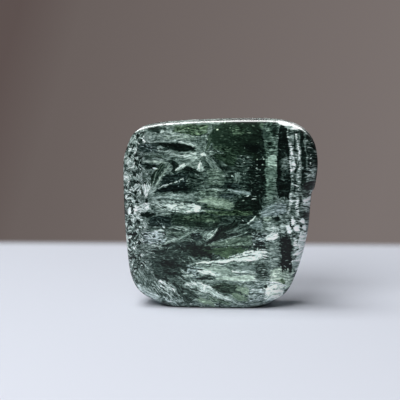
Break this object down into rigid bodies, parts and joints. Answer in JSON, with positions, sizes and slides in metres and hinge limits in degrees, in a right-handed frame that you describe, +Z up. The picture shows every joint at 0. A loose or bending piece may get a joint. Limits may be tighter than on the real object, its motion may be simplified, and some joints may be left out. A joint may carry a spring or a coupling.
{
  "type": "polished seraphinite slab",
  "caption": "Polished slab of seraphinite with a rounded edge all round, a low ledge on one side and a small flat on its lower edge to stand on.",
  "frame": {"origin": "on the surface that the slab stands on, under the middle of its bounding box", "axes": "+X along the slab to the right as seen from the front, +Y through the thickness from the front face to the back face, +Z up"},
  "size_m": [0.0616, 0.0163, 0.0602],
  "materials": {
    "seraphinite": "high polish over silky, feathered fibre"
  },
  "bodies": {
    "root": {"slab": "seraphinite"}
  },
  "joints": []
}
